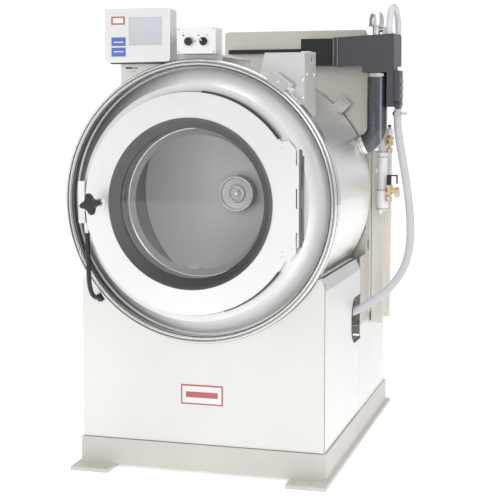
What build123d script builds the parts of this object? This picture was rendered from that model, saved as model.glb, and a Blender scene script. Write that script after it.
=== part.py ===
from build123d import *
import math
import os

# Rigid-mount front-loading commercial washer-extractor, in millimetres.
# Origin: the middle of the four anchor holes, on the floor.  Front faces -Y, up is +Z.
# Fore-and-aft places are written as a depth behind the front face of the base.

# ---- driving dimensions -------------------------------------------------
BASE_WIDTH = 830.0
BASE_LENGTH = 1130.0
FOOT_THICK = 12.0
ANCHOR_X = 370.0
ANCHOR_DEPTHS = (-36.0, 1150.0)
BASE_TOP = 98.0
SHEET = 3.0
BODY_HALF = 409.0
BODY_FRONT = 6.0
BODY_SPLIT = 590.0
BODY_TOP = 655.0
DRIVE_TOP = 408.0

AXIS_Z = 886.0
SHELL_RADIUS = 428.0
SHELL_FRONT = 20.0
SHELL_REAR = 672.0
RING_RADIUS = 451.0
PLATEAU_RADIUS = 373.0
PLATEAU = -63.0

DOOR_FACE = -104.0
DOOR_RADIUS = 347.0
GLASS_RADIUS = 240.0
HINGE_X = 349.0
HINGE = -97.0
KNOB_X = -297.0

DRUM_RADIUS = 381.0
DRUM_FRONT = -8.0
DRUM_REAR = 503.0
DRUM_MOUTH = 215.0

MOTOR_Z = 250.0
PULLEY_FRONT = 850.0
PULLEY_BACK = 910.0
PULLEY_RADIUS = 190.0
MOTOR_PULLEY_RADIUS = 45.0

PANEL = 690.0
PANEL_TOP = 1468.0
ELBOW = Vector(456, 638, 1076)
ELBOW_BEND = 62.0
ELBOW_RADIUS = 35.5
PIPE_X = 459.0
PIPE = 752.0
VALVE_X = 488.0
VALVE = 726.0

FRONT_Y = -sum(ANCHOR_DEPTHS) / 2


# ---- helpers ------------------------------------------------------------
def box(x0, x1, d0, d1, z0, z1):
    """A block between two x, two depths and two heights."""
    centre = ((x0 + x1) / 2, FRONT_Y + (d0 + d1) / 2, (z0 + z1) / 2)
    return Pos(*centre) * Box(x1 - x0, d1 - d0, z1 - z0)


def rod_y(radius, d0, d1, x=0.0, z=AXIS_Z):
    """A round bar that runs fore and aft."""
    place = Pos(x, FRONT_Y + (d0 + d1) / 2, z) * Rot(90, 0, 0)
    return place * Cylinder(radius, d1 - d0)


def rod_x(radius, x0, x1, d, z):
    """A round bar that runs across."""
    return Pos((x0 + x1) / 2, FRONT_Y + d, z) * Rot(0, 90, 0) * Cylinder(radius, x1 - x0)


def rod_z(radius, z0, z1, x, d):
    """A round upright bar."""
    return Pos(x, FRONT_Y + d, (z0 + z1) / 2) * Cylinder(radius, z1 - z0)


def turned(points):
    """A solid of revolution about the drum axis, from (radius, depth) points."""
    outline = make_face(Polyline([(r, d) for r, d in points], close=True))
    return Pos(0, FRONT_Y, AXIS_Z) * revolve(outline, Axis.Y)


def upright_plate(points, d0, d1):
    """A plate that faces the front, from (x, z) points."""
    plane = Plane(origin=(0, FRONT_Y + d0, 0), x_dir=(1, 0, 0), z_dir=(0, -1, 0))
    face = plane * make_face(Polyline(points, close=True))
    return extrude(face, amount=d1 - d0, dir=(0, 1, 0))


def side_plate(points, x0, x1):
    """A plate that faces the side, from (depth, z) points."""
    plane = Plane(origin=(x0, FRONT_Y, 0), x_dir=(0, 1, 0), z_dir=(1, 0, 0))
    face = plane * make_face(Polyline(points, close=True))
    return extrude(face, amount=x1 - x0, dir=(1, 0, 0))


def place(x, d, z):
    """A point at a depth behind the front face of the base."""
    return Vector(x, FRONT_Y + d, z)


def tube_along(points, radius, bends):
    """A round bar along straight runs that are joined by tangent arcs."""
    path = FilletPolyline([place(*p) for p in points], radius=bends)
    start = Plane(origin=path @ 0, z_dir=path % 0)
    return sweep(start * Circle(radius), path=path), path


def soft_bends(points, share=0.45):
    """The largest arc that each corner's two runs allow."""
    vectors = [Vector(*p) for p in points]
    radii = []
    for before, corner, after in zip(vectors, vectors[1:], vectors[2:]):
        first = corner - before
        second = after - corner
        turn = math.radians(first.get_angle(second))
        run = min(first.length, second.length)
        radii.append(share * run / math.tan(turn / 2))
    return radii


def hex_head(across, height):
    """A hexagonal bolt head that stands on z = 0."""
    return extrude(RegularPolygon(across / 2, 6, major_radius=False), amount=height)


def pan_head(radius, height):
    """A small round screw head that stands on z = 0."""
    blank = Pos(0, 0, height / 2) * Cylinder(radius, height)
    return fillet(blank.edges().group_by(Axis.Z)[-1], height * 0.6)


def on_rim(angle, radius, d):
    """A place on a circle about the drum axis, angle clockwise from the top; local z is outward."""
    a = math.radians(angle)
    spot = (radius * math.sin(a), FRONT_Y + d, AXIS_Z + radius * math.cos(a))
    return Pos(*spot) * Rot(0, angle, 0)


FACING_FRONT = Rot(90, 0, 0)
FACING_RIGHT = Rot(0, 90, 0)

parts = {}


# ---- base and body ------------------------------------------------------
def base_frame():
    """A welded ring of channel on two floor runners, with drilled plates at the corners."""
    half = BASE_WIDTH / 2
    flange = 60.0
    wall = 6.0
    ring = box(-half, half, 0, BASE_LENGTH, FOOT_THICK, BASE_TOP)
    ring -= box(-half + flange, half - flange, flange, BASE_LENGTH - flange, 0, BASE_TOP + 1)
    ring -= box(-half + wall, half - wall, wall, BASE_LENGTH - wall, FOOT_THICK + wall, BASE_TOP - wall)
    for side in (-1, 1):
        inner, outer = sorted((side * 385, side * 428))
        ring += box(inner, outer, 60, 1080, 0, FOOT_THICK)
        plate0, plate1 = sorted((side * 298, side * 428))
        ring += box(plate0, plate1, -64, 60, 0, FOOT_THICK)
        ring += box(plate0, plate1, 1080, 1170, 0, FOOT_THICK)
        for d in ANCHOR_DEPTHS:
            ring -= rod_z(9, -1, 13, side * ANCHOR_X, d)
        ring -= rod_z(5, -1, 13, side * 318, ANCHOR_DEPTHS[0])
    return ring


def front_panel():
    """The lower front sheet, arched at the top to clear the shell."""
    top = BODY_TOP - 5
    corner = 13.0
    outline = [(-BODY_HALF, BASE_TOP), (BODY_HALF, BASE_TOP), (BODY_HALF, top - 38)]
    outline += [(BODY_HALF - corner, top), (-BODY_HALF + corner, top), (-BODY_HALF, top - 38)]
    panel = upright_plate(outline, BODY_FRONT, BODY_FRONT + SHEET)
    panel -= rod_y(RING_RADIUS + 1.5, 0, 40)
    return panel - rod_y(9, 0, 20, CABLE_END[0], CABLE_END[2])


def notch(x0, x1):
    """The oblong opening at the rear edge of the right side sheet."""
    z0, z1, d0, radius = 366.0, 520.0, 438.0, 62.0
    opening = box(x0, x1, d0 + radius, BODY_SPLIT + 1, z0, z1)
    opening += box(x0, x1, d0, d0 + radius + 1, z0 + radius, z1 - radius)
    for z in (z0 + radius, z1 - radius):
        opening += rod_x(radius, x0, x1, d0 + radius, z)
    return opening


def side_panel(side):
    """One side sheet, leaned in at the top and folded under the tub; the right one has a hose shelf."""
    rear = BODY_SPLIT - 1
    top = BODY_TOP - 5
    inside = BODY_HALF - SHEET
    section = [(BODY_HALF, BASE_TOP), (BODY_HALF, top - 38), (BODY_HALF - 13, top), (372, top), (372, top - SHEET)]
    section += [(BODY_HALF - 15.3, top - SHEET), (inside, top - 38.5), (inside, BASE_TOP)]
    sheet = upright_plate([(side * x, z) for x, z in section], BODY_FRONT + SHEET, rear)
    fold0, fold1 = sorted((side * inside, side * (BODY_HALF - 28)))
    sheet += box(fold0, fold1, rear - SHEET, rear, BASE_TOP, 360)
    sheet -= rod_y(RING_RADIUS + 1.5, 0, 40)
    if side > 0:
        sheet -= notch(BODY_HALF - SHEET - 1, BODY_HALF + 1)
        sheet += box(345, BODY_HALF - 1, 430, 580, 360, 363)
    return sheet


def drive_cover():
    """Sides and top of the rear body, folded from one sheet."""
    front = BODY_SPLIT + 1
    outline = [(front, BASE_TOP), (1128, BASE_TOP), (1082, DRIVE_TOP), (front, DRIVE_TOP)]
    cover = side_plate(outline, -BODY_HALF, BODY_HALF)
    inner = [(front - 1, BASE_TOP - 1), (1200, BASE_TOP - 1), (1200, DRIVE_TOP - SHEET)]
    inner += [(front - 1, DRIVE_TOP - SHEET)]
    cover -= side_plate(inner, -BODY_HALF + SHEET, BODY_HALF - SHEET)
    return cover - box(-300, 300, 697, 960, DRIVE_TOP - 10, DRIVE_TOP + 1)


def rear_cover():
    """The louvred plate that closes the back of the rear body."""
    half = BODY_HALF - SHEET
    outline = [(1124, BASE_TOP), (1127, BASE_TOP), (1082, DRIVE_TOP - SHEET), (1079, DRIVE_TOP - SHEET)]
    cover = side_plate(outline, -half, half)
    for column in (-270, 60, 270):
        for row in range(5):
            z = 170 + 26 * row
            cover -= box(column - 70, column + 70, 1050, 1150, z, z + 7)
    return cover - rod_y(42, 1050, 1200, DRAIN_X, DRAIN_Z)


def shell_saddle():
    """The cross plate that carries the front of the shell."""
    outline = [(-390, BASE_TOP), (390, BASE_TOP), (390, 600), (-390, 600)]
    plate = upright_plate(outline, 100, 108) - rod_y(SHELL_RADIUS + 0.2, 50, 200)
    foot = box(-390, 390, 108, 150, BASE_TOP, BASE_TOP + 8)
    return plate + foot


# ---- shell --------------------------------------------------------------
def inlet_direction():
    """Unit vector from the drum axis out through the water inlet."""
    reach = Vector(ELBOW.X, 0, ELBOW.Z - AXIS_Z)
    return reach.normalized()


def inlet_bar(radius, r0, r1):
    """A round bar on the inlet's own axis, between two distances from the drum axis."""
    out = inlet_direction()
    centre = Vector(0, FRONT_Y + ELBOW.Y, AXIS_Z) + out * ((r0 + r1) / 2)
    return Plane(origin=centre, z_dir=out) * Cylinder(radius, r1 - r0)


def shell_cylinder():
    """The outer tub with its water inlet stub and drain stub."""
    outer = SHELL_RADIUS
    inner = outer - SHEET
    tub = turned([(inner, SHELL_FRONT), (outer, SHELL_FRONT), (outer, SHELL_REAR), (inner, SHELL_REAR)])
    tub += inlet_bar(29.5, outer - 2, outer + 20)
    tub += rod_z(38, AXIS_Z - outer - 22, AXIS_Z - outer + 2, 0, DRAIN)
    tub -= inlet_bar(26, outer - 30, outer + 40)
    return tub - rod_z(34, AXIS_Z - outer - 30, AXIS_Z - outer + 20, 0, DRAIN)


def shell_back():
    """The rear head of the tub, bored for the bearing housing."""
    inner = SHELL_RADIUS - SHEET
    return turned([(70, 560), (inner - 0.2, 560), (inner - 0.2, 568), (70, 568)])


def shell_head():
    """The front head: a shallow cone, a flat face, and a collar round the loading opening."""
    rim = SHELL_RADIUS - SHEET - 0.2
    outer = [(rim, SHELL_FRONT + 14), (rim, SHELL_FRONT), (PLATEAU_RADIUS, PLATEAU)]
    mouth = [(243, PLATEAU), (237, PLATEAU + 6), (237, -14), (240, -12)]
    back = [(240.5, PLATEAU + 8), (244, PLATEAU + SHEET), (PLATEAU_RADIUS - 2, PLATEAU + SHEET)]
    back += [(rim - 3, SHELL_FRONT + 1), (rim - 3, SHELL_FRONT + 14)]
    return turned(outer + mouth + back)


def clamp_ring():
    """The rolled band that clamps the head to the tub."""
    inner = SHELL_RADIUS + 0.2
    outline = [(inner, SHELL_FRONT + 14), (inner, -14), (433, -22), (440, -26), (447, -25)]
    outline += [(RING_RADIUS, -19), (RING_RADIUS, 30), (446, 36), (inner, 36)]
    return turned(outline)


def clamp_lug():
    """The lug that draws the clamp ring tight."""
    lug = box(-33, 33, -33, 30, 452, 476) + box(-33, 33, -33, -27, 444, 476)
    return Pos(0, 0, AXIS_Z) * Rot(0, LUG_ANGLE, 0) * lug


def tie_brackets():
    """Two angle brackets on the rear shoulders of the tub."""
    brackets = []
    for angle in TIE_ANGLES:
        foot = Pos(0, -6, 2.5) * Box(42, 72, 5)
        face = Pos(0, 27, 24) * Box(46, 6, 48)
        brackets.append(on_rim(angle, SHELL_RADIUS + 0.3, TIE) * (foot + face))
    return Compound(brackets)


def bracket_bolts():
    """The identical hexagon bolts of the clamp lug and the two ties."""
    bolts = []
    spots = [(LUG_ANGLE, 461, -33.3)]
    for angle in TIE_ANGLES:
        spots.append((angle, 460, TIE + 23.7))
    for angle, radius, d in spots:
        bolts.append(on_rim(angle, radius, d) * FACING_FRONT * hex_head(19, 9))
    return Compound(bolts)


# ---- brackets and controls on top --------------------------------------
def control_stand():
    """The sheet that stands on the tub and carries both control boxes."""
    outline = [(-284, 1140), (62, 1140), (62, 1420), (-284, 1420)]
    sheet = upright_plate(outline, 50, 53) - rod_y(SHELL_RADIUS + 0.2, 0, 100)
    fold = box(-284, -281, 53, 85, 1230, 1420)
    return sheet + fold


def lifting_bracket():
    """The folded plate on the tub's right shoulder, with its lifting eye."""
    outline = [(186, 1200), (330, 1100), (330, 1357), (201, 1357), (186, 1300)]
    tub = rod_y(SHELL_RADIUS + 0.2, 0, 400)
    front = upright_plate(outline, 50, 53) - tub
    cheek = box(327, 330, 52, 205, 1100, 1358) - tub
    cheek -= rod_x(11, 300, 340, 150, 1338)
    tab = box(318, 344, 51, 150, 1356.5, 1360)
    return front + cheek + tab


def wire_channel():
    """The closed conduit along the top of the tub."""
    tub_top = AXIS_Z + SHELL_RADIUS + 0.3
    duct = box(-46, 14, 53.2, 560, tub_top, tub_top + 48)
    ends = duct.edges().filter_by(Axis.Z).group_by(Axis.Y)[-1]
    duct = fillet(ends, 24)
    duct = fillet(duct.edges().filter_by(Axis.Y).group_by(Axis.Z)[-1], 10)
    return duct - box(-44, 12, 55.2, 530, tub_top - 1, tub_top + 38)


def control_box():
    """The display housing: a rounded pan, open at the back, with a window."""
    outer = box(-312, -92, -16, 50, 1330, 1500)
    outer = fillet(outer.edges().filter_by(Axis.Y), 9)
    outer = fillet(outer.faces().sort_by(Axis.Y)[0].edges(), 2.5)
    outer -= box(-308.5, -95.5, -12, 51, 1333.5, 1496.5)
    return outer - box(-230, -118, -20, 0, 1383, 1471)


def touch_screen():
    """The display module behind the window."""
    glass = box(-229.8, -118.2, -14.5, -11.5, 1383.2, 1470.8)
    return glass + box(-236, -112, -11.5, 4, 1377, 1477)


def switch_box():
    """The small housing of the two switches."""
    outer = fillet(box(-68, 60, -13, 50, 1354, 1436).edges().filter_by(Axis.Y), 3)
    return outer - box(-65, 57, -14, 51, 1357, 1433)


def switch_plate():
    """The plate that closes the switch housing, bored for the two switches."""
    plate = fillet(box(-68, 60, -16, -13, 1354, 1436).edges().filter_by(Axis.Y), 3)
    for x in SWITCH_X:
        plate -= rod_y(11.0, -30, 0, x, SWITCH_Z)
    return plate


def start_button():
    """A push button with its stem."""
    cap = rod_y(13, -27, -21.5, SWITCH_X[0], SWITCH_Z)
    cap = fillet(cap.edges().sort_by(Axis.Y)[0:1], 1.5)
    return cap + rod_y(10.93, -21.5, 10, SWITCH_X[0], SWITCH_Z)


def selector_knob():
    """A rotary knob with a grip bar and its stem."""
    knob = rod_y(13, -21, -16.4, SWITCH_X[1], SWITCH_Z)
    knob += box(SWITCH_X[1] - 4, SWITCH_X[1] + 4, -33, -21, SWITCH_Z - 12, SWITCH_Z + 12)
    return knob + rod_y(10.93, -16.4, 10, SWITCH_X[1], SWITCH_Z)


def panel_screws():
    """The identical small screws of the switch plate and the side sheets."""
    screws = []
    for x in (-62, 54):
        for z in (1360, 1430):
            screws.append(Pos(x, FRONT_Y - 16.1, z) * FACING_FRONT * pan_head(3.4, 2))
    for z in (165, 345, 543):
        screws.append(Pos(BODY_HALF + 0.1, FRONT_Y + 545, z) * FACING_RIGHT * pan_head(3.4, 2))
    return Compound(screws)


# ---- door ---------------------------------------------------------------
def door_outline(inset, d0, d1):
    """The door's shape: a disc with a squared tab on the hinge side."""
    disc = rod_y(DOOR_RADIUS - inset, d0, d1)
    edge = 340.5 - inset
    top, bottom = 1083 - inset, 717 + inset
    tab = [(0, bottom), (edge - 22, bottom), (edge, bottom + 26), (edge, top - 26), (edge - 22, top), (0, top)]
    return disc + upright_plate(tab, d0, d1)


def door_plate():
    """The door pan with its rim turned back, notched for the latch tongue, and its hinge knuckles."""
    skin = door_outline(0, DOOR_FACE, DOOR_FACE + SHEET)
    rim = door_outline(0, DOOR_FACE, -70) - door_outline(SHEET, DOOR_FACE - 1, -69)
    rim -= box(-400, -250, DOOR_FACE + SHEET, -60, 814, 956)
    pan = skin + rim - rod_y(262, -120, -50)
    pan -= box(334, 360, -96, -60, 700, 1100) + box(340.5, 360, -120, -60, 700, 1100)
    boss = rod_y(14, DOOR_FACE - 10, DOOR_FACE + 1, KNOB_X, AXIS_Z)
    pan = pan + boss - rod_y(6.08, -130, -90, KNOB_X, AXIS_Z)
    for z0, z1 in DOOR_KNUCKLES:
        pan += box(330, HINGE_X, DOOR_FACE, DOOR_FACE + SHEET, z0, z1)
        pan += rod_z(7.5, z0, z1, HINGE_X, HINGE)
    return pan - rod_z(4.05, 700, 1100, HINGE_X, HINGE)


def door_gasket():
    """The rubber ring between the door pan, the glass and the loading opening."""
    lip = [(261.8, DOOR_FACE - 0.2), (268, DOOR_FACE - 0.2), (268, -106), (265, -108), (259, -107)]
    slope = [(236, -84.5), (236, -84.2), (GLASS_RADIUS + 0.1, -84.2), (GLASS_RADIUS + 0.1, -71.8)]
    back = [(236, -71.8), (236, -66), (239, -63.6), (258, -63.6), (261.8, -68)]
    return turned(lip + slope + back)


def door_glass():
    """The round glass held in the gasket."""
    return turned([(0, -84), (GLASS_RADIUS, -84), (GLASS_RADIUS, -72), (0, -72)])


def hinge_bracket():
    """The fixed leaf of the hinge, with the three knuckles between and outside the door's."""
    leaf = box(HINGE_X + 1, HINGE_X + 8, HINGE - 2, PLATEAU - 0.3, 780, 1038)
    bracket = leaf
    for z0, z1 in FIXED_KNUCKLES:
        bracket += rod_z(7.5, z0, z1, HINGE_X, HINGE)
        bracket += box(HINGE_X + 1, HINGE_X + 8, HINGE - 2, HINGE + 8, z0, z1)
    for z0, z1 in DOOR_KNUCKLES:
        bracket -= rod_z(8.2, z0 - 0.4, z1 + 0.4, HINGE_X, HINGE)
        bracket -= box(HINGE_X, HINGE_X + 9, HINGE - 3, HINGE + 8.2, z0 - 0.4, z1 + 0.4)
    return bracket - rod_z(4.0, 700, 1100, HINGE_X, HINGE)


def hinge_pin():
    """The headed pin of the door hinge."""
    return rod_z(3.97, 762, 1056.2, HINGE_X, HINGE) + rod_z(6.5, 1056.1, 1059, HINGE_X, HINGE)


def latch_bracket():
    """The keeper on the front head: a channel that is open towards the door."""
    z0, z1 = 818, 952
    keeper = box(-373, -349, -66, PLATEAU - 0.3, z0, z1)
    keeper += box(-373, -370, -100, PLATEAU - 0.3, z0, z1)
    return keeper + box(-373, -351.5, -100, -97, z0, z1)


def lock_body():
    """The small socket under the keeper that the door switch lead comes out of."""
    body = rod_z(10, 800, 817.8, CABLE_X, CABLE)
    return body + rod_z(9, 786, 800, CABLE_X, CABLE)


def star_knob():
    """The four-lobed door knob."""
    core = rod_y(19, -195, -168, KNOB_X, AXIS_Z)
    for quarter in range(4):
        a = math.radians(90 * quarter)
        x, z = KNOB_X + 23 * math.cos(a), AXIS_Z + 23 * math.sin(a)
        core += rod_y(10.5, -193, -170, x, z)
    return core + rod_y(12, -168, -160, KNOB_X, AXIS_Z) - rod_y(6.05, -166.1, -150, KNOB_X, AXIS_Z)


def latch_stud():
    """The knob's spindle and the tongue on its inner end, upright when the door is free."""
    spindle = rod_y(6.0, -166, -88, KNOB_X, AXIS_Z)
    tongue = box(KNOB_X - 9, KNOB_X + 9, -94, -88, AXIS_Z - 12, AXIS_Z + 68)
    return spindle + tongue


# ---- drum and drive -----------------------------------------------------
def drum_basket():
    """The wash drum: side wall, front plate with its mouth, and dished back."""
    outer = [(DRUM_MOUTH, DRUM_FRONT), (DRUM_RADIUS, DRUM_FRONT), (DRUM_RADIUS, DRUM_REAR)]
    outer += [(66, 465), (30, 465)]
    inner = [(30, 462), (66, 462), (DRUM_RADIUS - 3, DRUM_REAR - 3.4)]
    inner += [(DRUM_RADIUS - 3, DRUM_FRONT + 3), (DRUM_MOUTH, DRUM_FRONT + 3)]
    return turned(outer + inner)


def drum_ribs():
    """Three lifting ribs inside the drum."""
    ribs = []
    root = DRUM_RADIUS - 3.3
    for turn in (30, 150, 270):
        outline = [(-42, -root + 3), (42, -root + 3), (10, -root + 72), (-10, -root + 72)]
        rib = upright_plate([(x, AXIS_Z + z) for x, z in outline], 12, 470)
        rib &= rod_y(root, 0, 480)
        pivot = Pos(0, 0, AXIS_Z) * Rot(0, turn, 0) * Pos(0, 0, -AXIS_Z)
        ribs.append(pivot * rib)
    return Compound(ribs)


def hub_cap():
    """The raised cap in the middle of the drum's back, with its nut."""
    rim = [(0, 461.8), (62, 461.8), (62, 411), (60, 407), (56, 407), (53, 412)]
    dish = [(33, 415), (29, 409), (25, 409), (22, 414), (0, 414)]
    return turned(rim + dish) + Pos(0, FRONT_Y + 414.5, AXIS_Z) * FACING_FRONT * hex_head(26, 10)


def drum_shaft():
    """The stepped shaft behind the drum, with its flange."""
    return turned([(0, 465.2), (65, 465.2), (65, 474), (50, 485), (40, 500), (40, 820), (35, 820), (35, 925), (0, 925)])


def bearing_housing():
    """The cast housing that carries the drum shaft, with a flange against the rear head."""
    profile = [(40.05, 545), (69.8, 545), (69.8, 568.2), (150, 568.2), (150, 584), (100, 590)]
    profile += [(95.8, 640), (95.8, 838), (60, 838), (60, 822), (40.05, 822)]
    housing = turned(profile)
    for k in range(6):
        gusset = box(-5, 5, 584, 680, AXIS_Z + 94, AXIS_Z + 140)
        gusset -= Pos(0, FRONT_Y + 700, AXIS_Z + 150) * Rot(-25, 0, 0) * Box(20, 260, 60)
        turn = Pos(0, 0, AXIS_Z) * Rot(0, 60 * k, 0) * Pos(0, 0, -AXIS_Z)
        housing += turn * gusset
    return housing


def drive_frame():
    """The A-frame under the bearing housing, with the motor's base plate."""
    frame = rod_y(128, 700, 780)
    for side in (-1, 1):
        leg = [(side * 395, BASE_TOP), (side * 305, BASE_TOP), (side * 50, AXIS_Z), (side * 118, AXIS_Z)]
        frame += upright_plate(leg, 700, 780)
    frame += upright_plate([(-250, 440), (250, 440), (235, 500), (-235, 500)], 715, 765)
    frame += box(-395, 395, 590, 835, BASE_TOP, BASE_TOP + 10)
    return frame - rod_y(96.0, 600, 900)


def motor():
    """The drive motor on its two feet."""
    body = rod_y(105, 575, 800, 0, MOTOR_Z) + rod_y(88, 560, 815, 0, MOTOR_Z)
    body += box(-60, 60, 640, 740, MOTOR_Z + 90, MOTOR_Z + 140)
    for d in (600, 740):
        body += box(-90, 90, d, d + 40, BASE_TOP + 10, MOTOR_Z - 70)
    for k in range(12):
        fin = box(-3, 3, 590, 785, MOTOR_Z + 100, MOTOR_Z + 112)
        turn = Pos(0, 0, MOTOR_Z) * Rot(0, 15 + 30 * k, 0) * Pos(0, 0, -MOTOR_Z)
        body += turn * fin
    return body - rod_y(14.05, 700, 900, 0, MOTOR_Z)


def grooved(radius, bore, x, z):
    """A belt pulley with four grooves."""
    wheel = rod_y(radius, PULLEY_FRONT, PULLEY_BACK, x, z)
    for k in range(4):
        d = PULLEY_FRONT + 9 + 13 * k
        groove = rod_y(radius + 1, d, d + 7, x, z) - rod_y(radius - 9, d - 1, d + 8, x, z)
        wheel -= groove
    return wheel - rod_y(bore, PULLEY_FRONT - 1, PULLEY_BACK + 1, x, z)


def drum_pulley():
    """The large pulley on the drum shaft, lightened between rim and hub."""
    wheel = grooved(PULLEY_RADIUS, 35.02, 0, AXIS_Z)
    web = rod_y(PULLEY_RADIUS - 25, 0, 18) - rod_y(62, -1, 19)
    for d in (PULLEY_FRONT - 1, PULLEY_BACK - 17):
        wheel -= Pos(0, d, 0) * web
    return wheel


def motor_pulley():
    """The small pulley with its length of motor shaft."""
    wheel = grooved(MOTOR_PULLEY_RADIUS, 10, 0, MOTOR_Z)
    return wheel + rod_y(14, 705, PULLEY_BACK + 8, 0, MOTOR_Z)


def belt_shape(grow, d0, d1):
    """The filled outline of an open belt round both pulleys."""
    big = PULLEY_RADIUS + grow
    small = MOTOR_PULLEY_RADIUS + grow
    lean = math.asin((big - small) / (AXIS_Z - MOTOR_Z))
    c, s = math.cos(lean), math.sin(lean)
    points = [(-big * c, AXIS_Z - big * s), (big * c, AXIS_Z - big * s)]
    points += [(small * c, MOTOR_Z - small * s), (-small * c, MOTOR_Z - small * s)]
    flat = upright_plate(points, d0, d1)
    return flat + rod_y(big, d0, d1, 0, AXIS_Z) + rod_y(small, d0, d1, 0, MOTOR_Z)


def drive_belts():
    """Four belts that run as one band over the pulley rims."""
    d0, d1 = PULLEY_FRONT + 6, PULLEY_BACK - 6
    return belt_shape(6, d0, d1) - belt_shape(0.5, d0 - 1, d1 + 1)


# ---- drain --------------------------------------------------------------
def drain_valve():
    """The dump valve under the tub and its outlet pipe to the back."""
    top = AXIS_Z - SHELL_RADIUS - 22.3
    body = rod_z(52, DRAIN_Z - 10, top, 0, DRAIN)
    body += rod_x(30, -20, 95, DRAIN, DRAIN_Z + 55)
    run = [(0, DRAIN, DRAIN_Z), (DRAIN_X, DRAIN, DRAIN_Z), (DRAIN_X, 1150, DRAIN_Z)]
    pipe, _ = tube_along(run, 36, 90)
    body += pipe + rod_y(38, 1098, 1150, DRAIN_X, DRAIN_Z)
    return body - rod_y(33, 1050, 1151, DRAIN_X, DRAIN_Z)


# ---- upright panel and water supply ------------------------------------
def rear_panel():
    """The tall panel behind the tub, with its edges folded back."""
    left, right = -127.0, BODY_HALF
    face = box(left, right, PANEL, PANEL + SHEET, DRIVE_TOP, PANEL_TOP)
    face = fillet(face.edges().filter_by(Axis.Y).group_by(Axis.Z)[-1], 14)
    cheek = box(right - SHEET, right, PANEL + SHEET, PANEL + 100, DRIVE_TOP, PANEL_TOP - 16)
    cheek -= box(right - 10, right + 10, PANEL + 40, PANEL + 56, 672, 706)
    tail = box(left, left + SHEET, PANEL + SHEET, PANEL + 40, 1060, PANEL_TOP - 16)
    roof = box(left + 16, right - 16, PANEL + SHEET, PANEL + 40, PANEL_TOP - SHEET, PANEL_TOP)
    wing = box(right - SHEET, right, BODY_SPLIT + 2, PANEL + SHEET + 1, DRIVE_TOP, BODY_TOP)
    return face + cheek + wing + tail + roof - rod_y(160, 600, 900)


def service_column():
    """The stepped upright channel beside the panel."""
    thick = 2.5
    x0, x1, x2 = BODY_HALF + 0.2, 455.0, 474.0
    front, step, back = PANEL + 102, PANEL + 140, PANEL + 180
    z0, z1 = 386, 1030
    column = box(x0, x1, front, front + thick, z0, z1)
    column += box(x1 - thick, x1, front, step + thick, z0, z1)
    column += box(x1 - thick, x2, step, step + thick, z0 + 17, z1)
    column += box(x2 - thick, x2, step, back, z0 + 17, z1)
    column += box(x0, x0 + thick, PANEL + 60, front + thick, 430, z1)
    return column


def injector_body():
    """The black supply box on the panel: flat duct, deep box with a sloping top, drop leg and barb."""
    d0, d1 = 600.0, PANEL - 0.2
    duct = box(182, 304, d0 + 14, d1, 1338, 1434)
    deep = upright_plate([(303, 1336), (521, 1336), (521, 1447), (303, 1436)], d0, d1)
    for x in (303, 316):
        deep += box(x, x + 5, d0 - 4, d1, 1335, 1436)
    deep += upright_plate([(415, 1336), (521, 1336), (521, 1447), (415, 1441.7)], d1 - 1, 775)
    deep += rod_z(9, 1440, 1451.8, *LOOP_FAR)
    leg = box(496, 521, d0, d1, 1190, 1340)
    shoulder = box(407, 497, d0, d1, 1312, 1337)
    spigot = rod_z(29.8, 1285, 1337, ELBOW.X, ELBOW.Y)
    rail = box(-105, 183, PANEL - 26, d1, 1386, 1401)
    body = duct + deep + leg + shoulder + spigot + rail
    return body - rod_z(25, 1280, 1330, ELBOW.X, ELBOW.Y)


def injector_manifold():
    """The side block of the injector with the hopper and spout for the small hose."""
    block = fillet(box(521.2, 540, 602, PANEL - 2, 1210, 1318).edges().filter_by(Axis.Z), 3)
    hopper = upright_plate([(521.2, 1211), (540, 1211), (543, 1200), (538, 1186), (521.2, 1186)], 616, 674)
    spout = rod_z(12.8, 1181.8, 1187, HOSE_X, HOSE)
    return block + hopper + (spout & box(521.2, 560, 600, 690, 1180, 1190))


def port_caps():
    """The three identical screw caps on the manifold's side."""
    caps = []
    for z in (1281, 1256, 1231):
        cap = rod_x(10.5, 540.2, 549, ELBOW.Y, z)
        caps.append(fillet(cap.edges().sort_by(Axis.X)[-1:], 3))
    return Compound(caps)


def inlet_elbow():
    """The moulded rubber elbow from the injector to the tub."""
    out = inlet_direction()
    end = Vector(0, 0, AXIS_Z) + out * (SHELL_RADIUS + 6)
    points = [(ELBOW.X, ELBOW.Y, 1310.8), (ELBOW.X, ELBOW.Y, ELBOW.Z), (end.X, ELBOW.Y, end.Z)]
    outer, _ = tube_along(points, ELBOW_RADIUS, ELBOW_BEND)
    inner, _ = tube_along(points, 30, ELBOW_BEND)
    return outer - inner


def hose_clamps():
    """Band clamps: two on the elbow, one with a thumbscrew on the small hose."""
    upper = rod_z(38, 1296, 1309, ELBOW.X, ELBOW.Y) - rod_z(ELBOW_RADIUS + 0.1, 1290, 1312, ELBOW.X, ELBOW.Y)
    near = SHELL_RADIUS + 8
    lower = inlet_bar(38, near, near + 13) - inlet_bar(ELBOW_RADIUS + 0.1, near - 5, near + 20)
    small = rod_z(17, 1160, 1172, HOSE_X, HOSE) - rod_z(15, 1150, 1180, HOSE_X, HOSE)
    small += rod_x(4, HOSE_X + 16, HOSE_X + 30, HOSE, 1166)
    small += box(HOSE_X + 30, HOSE_X + 32, HOSE - 7, HOSE + 7, 1161, 1171)
    return Compound([upper, lower, small])


def hose_socket():
    """The barb inside the side sheet that the small hose ends on."""
    tail = Vector(*HOSE_ROUTE[-1])
    before = Vector(*HOSE_ROUTE[-2])
    run = (tail - before).normalized()
    seat = Plane(origin=place(tail.X, tail.Y, tail.Z), z_dir=run)
    barb = seat * Pos(0, 0, 12.6) * Cylinder(16, 24)
    far = tail + run * 16
    arm = box(far.X - 8, 380, far.Y - 10, far.Y + 10, 363.2, tail.Z)
    arm -= seat * Pos(0, 0, -39.7) * Cylinder(40, 80)
    return barb + arm


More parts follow.
